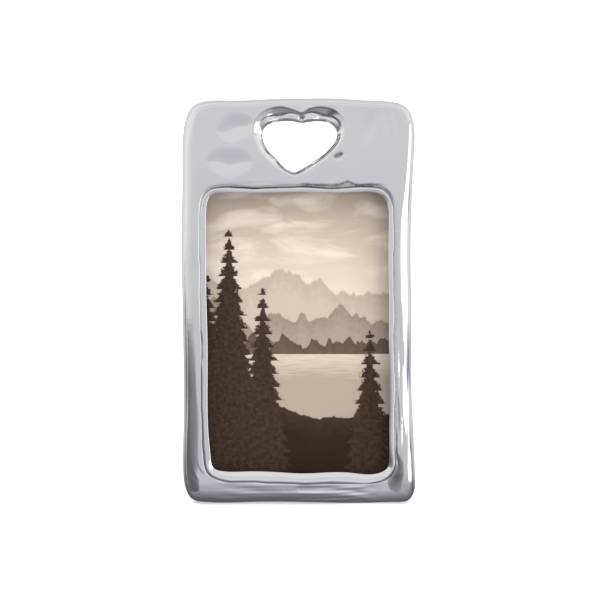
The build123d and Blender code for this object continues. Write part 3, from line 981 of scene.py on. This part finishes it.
def add_softened(name, node_name, body, surface, edge, rings=2):
    """Stands a copy of a CAD node, with its sharp edges eased, in the node's place."""
    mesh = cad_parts[node_name].data.copy()
    mesh.materials.clear()
    work = bmesh.new()
    work.from_mesh(mesh)
    bmesh.ops.remove_doubles(work, verts=work.verts, dist=WELD * MM)
    bmesh.ops.dissolve_limit(
        work, angle_limit=math.radians(0.5), verts=work.verts, edges=work.edges
    )
    work.to_mesh(mesh)
    work.free()
    rough = add_object(name + "_rough", mesh)
    ease_edges(rough, edge * MM, rings)
    whole = plain_mesh(rough)
    whole.name = name
    stand_for(show(whole, name, [surface], sharp=20), node_name, body)


def fastener_tree(name, sizes):
    """A new Geometry Nodes tree with the points it stands on, its sizes and its material."""
    tree = bpy.data.node_groups.new(name, "GeometryNodeTree")
    sizes = [(size, "Float") for size in sizes]
    for label, kind in [("Points", "Geometry"), *sizes, ("Surface", "Material")]:
        tree.interface.new_socket(label, in_out="INPUT", socket_type="NodeSocket" + kind)
    tree.interface.new_socket("Mesh", in_out="OUTPUT", socket_type="NodeSocketGeometry")
    return tree, node(tree, "NodeGroupInput").outputs


def raised(tree, mesh, height, share):
    """The mesh moved up by a share of a height."""
    up = node(tree, "Math", height, share, operation="MULTIPLY")
    return node(
        tree, "GeometryNodeTransform", Geometry=mesh, Translation=node(tree, "CombineXYZ", Z=up)
    )


def stand_on_points(tree, given, head):
    """Adds the shank to a head, and stands the two on every point, each turned by chance."""
    shank = node(
        tree, "GeometryNodeMeshCylinder", Vertices=24, Radius=given["Shank Radius"],
        Depth=given["Shank Length"],
    )
    shank = raised(tree, shank, given["Shank Length"], -0.5)
    whole = node(tree, "GeometryNodeJoinGeometry", head)
    tree.links.new(shank.outputs[0], whole.inputs[0])
    turn = node(tree, "FunctionNodeRandomValue", Min=-1.2, Max=1.2, Seed=4)
    facing = node(tree, "CombineXYZ", X=math.radians(-90), Y=turn)
    stood = node(
        tree, "GeometryNodeInstanceOnPoints", Points=given["Points"], Instance=whole,
        Rotation=facing,
    )
    real = node(tree, "GeometryNodeRealizeInstances", stood)
    dressed = node(tree, "GeometryNodeSetMaterial", Geometry=real, Material=given["Surface"])
    node(tree, "NodeGroupOutput", Mesh=dressed)
    return tree


def slotted_screws():
    """Cheese-head screws with a straight slot."""
    tree, given = fastener_tree("slotted_screws", [
        "Head Radius", "Head Height", "Slot Width", "Slot Depth", "Shank Radius", "Shank Length",
    ])
    head = node(
        tree, "GeometryNodeMeshCylinder", Vertices=48, Radius=given["Head Radius"],
        Depth=given["Head Height"],
    )
    head = raised(tree, head, given["Head Height"], 0.5)
    across = node(tree, "Math", given["Head Radius"], 3.0, operation="MULTIPLY")
    deep = node(tree, "Math", given["Slot Depth"], 2.0, operation="MULTIPLY")
    slot = node(
        tree, "GeometryNodeMeshCube",
        Size=node(tree, "CombineXYZ", X=across, Y=given["Slot Width"], Z=deep),
    )
    slot = raised(tree, slot, given["Head Height"], 1.0)
    head = node(tree, "GeometryNodeMeshBoolean", Mesh_1=head, Mesh_2=slot, operation="DIFFERENCE")
    return stand_on_points(tree, given, head)


def domed_rivets():
    """Rivets with a low round head: a sphere pressed flat below and low above."""
    tree, given = fastener_tree("domed_rivets", [
        "Head Radius", "Head Height", "Shank Radius", "Shank Length",
    ])
    ball = node(
        tree, "GeometryNodeMeshUVSphere", Segments=40, Rings=20, Radius=given["Head Radius"]
    )
    parts = node(tree, "SeparateXYZ", node(tree, "GeometryNodeInputPosition"))
    above = node(tree, "Math", parts.outputs["Z"], 0.0, operation="MAXIMUM")
    flatter = node(tree, "Math", given["Head Height"], given["Head Radius"], operation="DIVIDE")
    height = node(tree, "Math", above, flatter, operation="MULTIPLY")
    head = node(
        tree, "GeometryNodeSetPosition", Geometry=ball,
        Position=node(tree, "CombineXYZ", X=parts.outputs["X"], Y=parts.outputs["Y"], Z=height),
    )
    return stand_on_points(tree, given, head)


def add_fasteners(name, tree, places, sizes, surface, node_name, body, pose=None, edge=0):
    """Grows the fasteners of one body and stands them, as one plain mesh, in a node's place."""
    points = bpy.data.meshes.new(name)
    points.from_pydata(places, [], [])
    grown = add_object(name, points)
    grow = grown.modifiers.new("grow", "NODES")
    grow.node_group = tree
    for socket in tree.interface.items_tree:
        if socket.in_out == "INPUT" and socket.name in sizes:
            grow[socket.identifier] = sizes[socket.name]
        elif socket.name == "Surface":
            grow[socket.identifier] = surface
    if edge:
        ease_edges(grown, edge, 2)
    whole = plain_mesh(grown)
    whole.transform(UPRIGHT_TO_ROW @ (pose or Matrix()))
    whole.materials.clear()
    stand_for(show(whole, name, [surface], sharp=20), node_name, body)


def dress(node_name, surface):
    """Gives a CAD node that stays in sight its real surface."""
    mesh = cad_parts[node_name].data
    for number in range(max(1, len(mesh.materials))):
        if number < len(mesh.materials):
            mesh.materials[number] = surface
        else:
            mesh.materials.append(surface)


def add_glass():
    """The pane, a hair clear of the casting's ledge and of the print."""
    gap = 0.04
    shell = Shell()
    pane = rectangle_loop(PRINT_WIDTH / 2 - gap, PRINT_HEIGHT / 2 - gap, 0.5, 3)
    shell.rings([(pane, GLASS_FRONT + gap), (pane, GLASS_REAR - gap)])
    for depth in (GLASS_FRONT + gap, GLASS_REAR - gap):
        shell.sheet(pane, [], lambda x, z: np.full(len(x), depth))
    glass = show(shell.mesh("glass"), "glass", [GLASS], sharp=20)
    stand_for(glass, "glass_pane", "frame")


add_casting()
add_glass()
dress("photo_print", PRINT)
dress("filler_card", GREYBOARD)
dress("back_panel_board", HARDBOARD)
dress("leg_board", HARDBOARD)
dress("hinge_pin", NICKEL)

# Sizes of the fasteners' heads, and of the shanks under them
RIVET = {"Head Radius": 2.0, "Head Height": 0.7, "Shank Radius": 1.0}
SCREW = {
    "Head Radius": 2.4, "Head Height": 1.4, "Slot Width": 0.6, "Slot Depth": 0.6,
    "Shank Radius": 1.0, "Shank Length": 7.4,
}
rivets = domed_rivets()
add_fasteners(
    "panel_rivets", rivets, [(-6, 0.6, 130.5), (6, 0.6, 130.5)], {**RIVET, "Shank Length": 4.2},
    NICKEL, "hinge_rivets_panel", "frame",
)
# The leg stands open, turned about the pin of its hinge from where it lies folded
HINGE = Matrix.Translation((0, 5.1, 118))
LEG_OPEN = HINGE @ Matrix.Rotation(math.radians(28), 4, "X") @ HINGE.inverted()
add_fasteners(
    "leg_rivets", rivets, [(-6, 4.2, 107.5), (6, 4.2, 107.5)], {**RIVET, "Shank Length": 4.0},
    NICKEL, "hinge_rivets_leg", "easel_leg", LEG_OPEN,
)
add_fasteners(
    "button_screws", slotted_screws(), [(x, 1.0, z) for x in (-56.8, 56.2) for z in (52, 132)],
    SCREW, ZINC, "turn_button_screws", "frame", edge=0.12,
)
add_softened("back_covering", "back_panel_covering", "frame", FLOCK, 0.15)
add_softened("easel_covering", "leg_covering", "easel_leg", FLOCK, 0.15)
add_softened("panel_leaf", "hinge_fixed_leaf", "frame", NICKEL, 0.12)
add_softened("easel_leaf", "hinge_moving_leaf", "easel_leg", NICKEL, 0.12)
for number in range(1, 5):
    add_softened(
        f"button_{number}", f"turn_button_{number}", f"turn_button_{number}",
        NICKEL, 0.16, 3,
    )


# The studio

def aim(obj, place, target):
    """Stands a light or the camera at a place and turns it to a target."""
    obj.location = place
    obj.rotation_euler = (Vector(target) - Vector(place)).to_track_quat("-Z", "Y").to_euler()


# What the metal mirrors, by angle in degrees above the front horizon, over the top and behind
SURROUNDINGS = [
    (-180, "#DADADD"), (-166, "#D6D6D9"), (-155, "#ABABB0"), (-138, "#77777C"), (-105, "#5A5A60"),
    (-78, "#6C6C72"), (-52, "#88888E"), (-32, "#9E9EA3"), (-12, "#B6B6BA"), (0, "#C8C8CB"),
    (14, "#D4D4D6"), (26, "#E4E4E6"), (40, "#E8E8EA"), (58, "#DCDCDE"), (72, "#EEEEEF"),
    (84, "#EEEEEF"), (98, "#E6E6E8"), (122, "#DCDCDF"), (145, "#DADADD"), (180, "#DADADD"),
]


def make_world():
    """The studio that the metal mirrors, a little brighter to both sides. The camera sees white."""
    world = bpy.data.worlds.new("studio")
    bpy.context.scene.world = world
    world.use_nodes = True
    tree = world.node_tree
    tree.nodes.clear()
    direction = node(tree, "TexCoord").outputs["Generated"]
    parts = node(tree, "SeparateXYZ", direction)
    forward = node(tree, "Math", parts.outputs["Y"], -1.0, operation="MULTIPLY")
    angle = node(tree, "Math", parts.outputs["Z"], forward, operation="ARCTAN2")
    share = node(tree, "MapRange", Value=angle, From_Min=-math.pi, From_Max=math.pi)
    ramp = node(
        tree, "ValToRGB", Fac=share,
        stops=[((degrees + 180) / 360, linear(colour)) for degrees, colour in SURROUNDINGS],
    )
    aside = node(tree, "Math", parts.outputs["X"], operation="ABSOLUTE")
    sideways = node(tree, "MapRange", Value=aside, From_Min=0.2, To_Max=1.2, To_Min=1.0)
    around = node(tree, "VectorMath", ramp, Scale=sideways, operation="SCALE")
    seen = node(tree, "LightPath").outputs["Is Camera Ray"]
    colour = node(tree, "Mix", Factor=seen, A=around, B=linear("#FFFFFF"), data_type="RGBA")
    background = node(tree, "Background", Color=colour)
    node(tree, "OutputWorld", Surface=background)


def softbox(name, place, target, width, height, power):
    """A soft studio light that neither the camera nor the metal's mirror sees."""
    light = bpy.data.lights.new(name, "AREA")
    light.shape = "RECTANGLE"
    light.size = width
    light.size_y = height
    light.energy = power
    lamp = add_object(name, light)
    lamp.visible_camera = lamp.visible_glossy = False
    aim(lamp, place, target)


def plane(name, corners, surface):
    """A flat piece of the studio."""
    mesh = bpy.data.meshes.new(name)
    mesh.from_pydata(corners, [], [(0, 1, 2, 3)])
    mesh.materials.append(surface)
    made = add_object(name, mesh)
    return made


def white_floor_paint(tree):
    """Matt white paint, lit from within a little so that it stays as pale as the backdrop."""
    return node(
        tree, "BsdfPrincipled", Base_Color=linear("#F8F8F8"), Roughness=0.9,
        Emission_Color=linear("#FFFFFF"), Emission_Strength=0.35,
    )


def add_reflector(name, corners, strength_at):
    """A glowing card that only the metal mirrors. Its strength follows from where it glows."""
    surface = material(name, lambda tree: node(
        tree, "Emission", Color=linear("#F8F8FF"),
        Strength=strength_at(tree, node(tree, "TexCoord").outputs["Object"]),
    ))
    card = plane(name, corners, surface)
    card.visible_camera = card.visible_diffuse = card.visible_shadow = False
    card.visible_transmission = False


# Middle of the light at the right and of the bright reflector round it
RIGHT = (0.74, -0.52, 0.2)


def soft_edged(tree, place):
    """Bright in the middle and as dim as the room at the edges, like a lit diffuser."""
    falls = []
    for along, half, fade in (((0.575, 0.818, 0), 0.50, 0.14), ((0, 0, 1), 0.36, 0.16)):
        away = node(tree, "VectorMath", place, RIGHT, operation="SUBTRACT")
        away = node(tree, "VectorMath", away, along, operation="DOT_PRODUCT")
        away = node(tree, "Math", away, operation="ABSOLUTE")
        falls.append(node(
            tree, "MapRange", Value=away, From_Min=half, From_Max=half - fade,
            interpolation_type="SMOOTHSTEP",
        ))
    strength = node(tree, "Math", falls[0], falls[1], operation="MULTIPLY")
    return node(tree, "Math", strength, 1.3, 0.62, operation="MULTIPLY_ADD")


def darker_below(tree, place):
    """Dim, more so low down, and as bright as the room at its near end."""
    parts = node(tree, "SeparateXYZ", place)
    strength = node(
        tree, "MapRange", Value=parts.outputs["Z"], From_Min=0.05, From_Max=0.22, To_Min=0.15,
        To_Max=0.42,
    )
    near = node(
        tree, "MapRange", Value=parts.outputs["X"], From_Min=-0.28, From_Max=-0.15, To_Max=0.18
    )
    return node(tree, "Math", strength, near)


make_world()
softbox("right_light", RIGHT, (0, 0, 0.12), 0.92, 0.7, 6)
softbox("rear_softbox", (-0.6, 1.2, 0.9), (0, 0, 0.1), 0.9, 0.9, 16)
softbox("overhead_light", (0, -0.3, 1.7), (0, 0, 0), 2.0, 2.0, 26)
floor = plane(
    "floor", [(-12, -12, 0), (12, -12, 0), (12, 12, 0), (-12, 12, 0)],
    material("white_floor_paint", white_floor_paint),
)
floor.visible_glossy = False
add_reflector("bright_reflector", [
    (0.452, -0.929, -0.16), (1.028, -0.111, -0.16), (1.028, -0.111, 0.56), (0.452, -0.929, 0.56),
], soft_edged)
add_reflector("dark_reflector", [
    (-0.15, -0.69, -0.3), (-0.58, -0.16, -0.3), (-0.58, -0.16, 0.11), (-0.15, -0.69, 0.23),
], darker_below)

# The camera looks square at the leaning face. A 100 mm lens on a 36 mm sensor sees 316 mm of it.
CAMERA_DISTANCE = 0.8788
VIEW_CENTRE = UPRIGHT_TO_ROW @ Vector((0.9, FACE, 107.9))
camera = add_object("camera", bpy.data.cameras.new("camera"))
camera.data.lens = 100
camera.data.sensor_width = 36
toward = Vector((0, -math.cos(LEAN), math.sin(LEAN)))
aim(camera, VIEW_CENTRE + CAMERA_DISTANCE * toward, VIEW_CENTRE)
bpy.context.scene.camera = camera
bpy.context.scene.view_settings.view_transform = "Standard"
